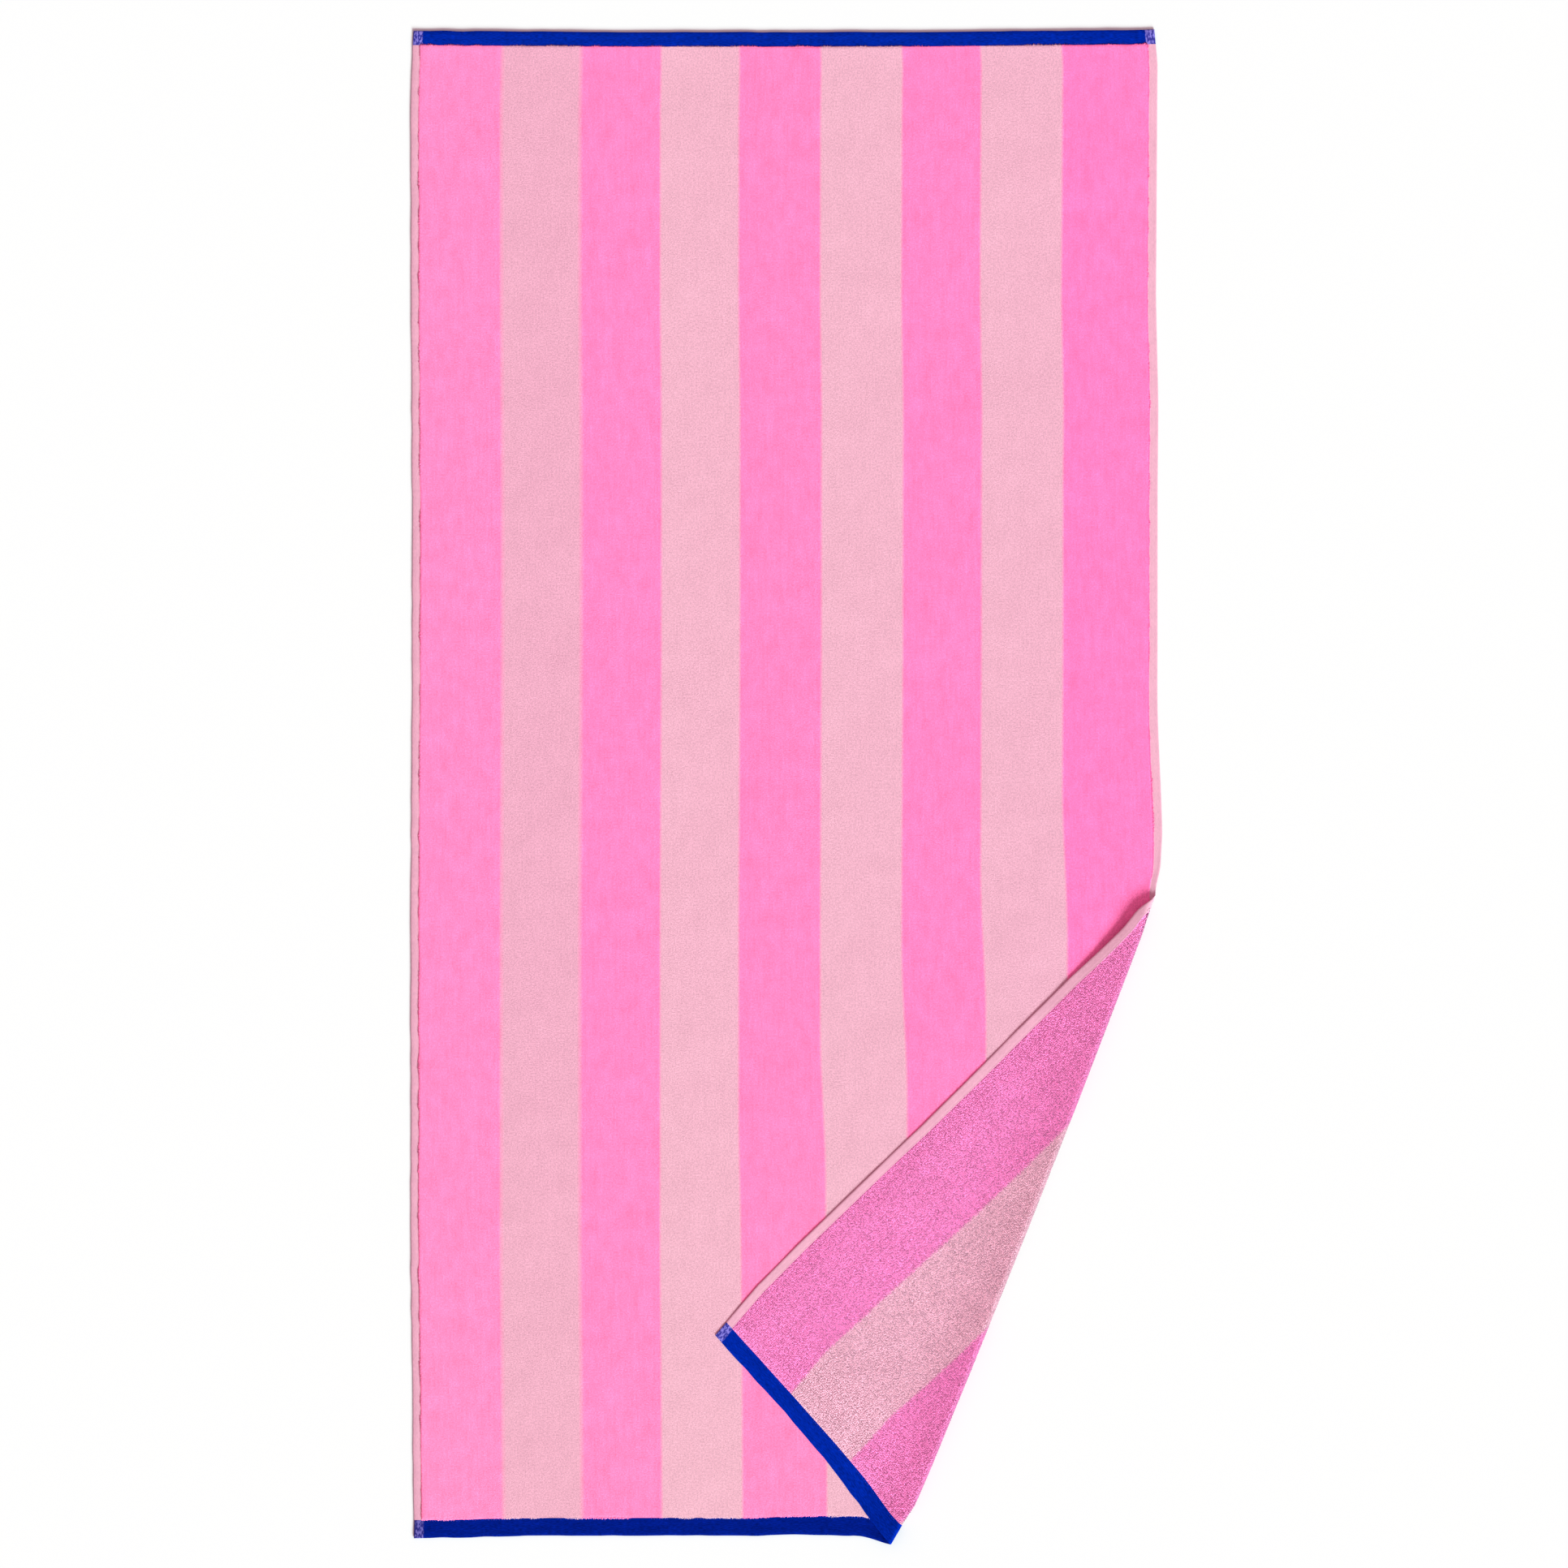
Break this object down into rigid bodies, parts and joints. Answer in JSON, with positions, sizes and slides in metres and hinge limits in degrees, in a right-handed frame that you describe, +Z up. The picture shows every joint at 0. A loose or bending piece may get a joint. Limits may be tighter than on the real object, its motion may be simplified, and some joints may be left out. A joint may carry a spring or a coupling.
{
  "type": "beach towel",
  "caption": "Striped rectangular beach towel lying flat on its looped back, with narrow side hems, contrasting end hems and one lower corner turned over to the front.",
  "frame": {"origin": "centre of the towel's footprint, on the surface that it lies on", "axes": "+Y along the towel towards the end with no fold, +X across it towards the side with the turned corner, +Z up from the surface"},
  "size_m": [0.8982, 1.8095, 0.0174],
  "materials": {
    "towel_cotton": "matt sheared cotton pile on the front and looped terry on the back, in hot and pale pink stripes, with flat-woven blue end hems"
  },
  "bodies": {
    "root": {"towel": "towel_cotton"}
  },
  "joints": []
}
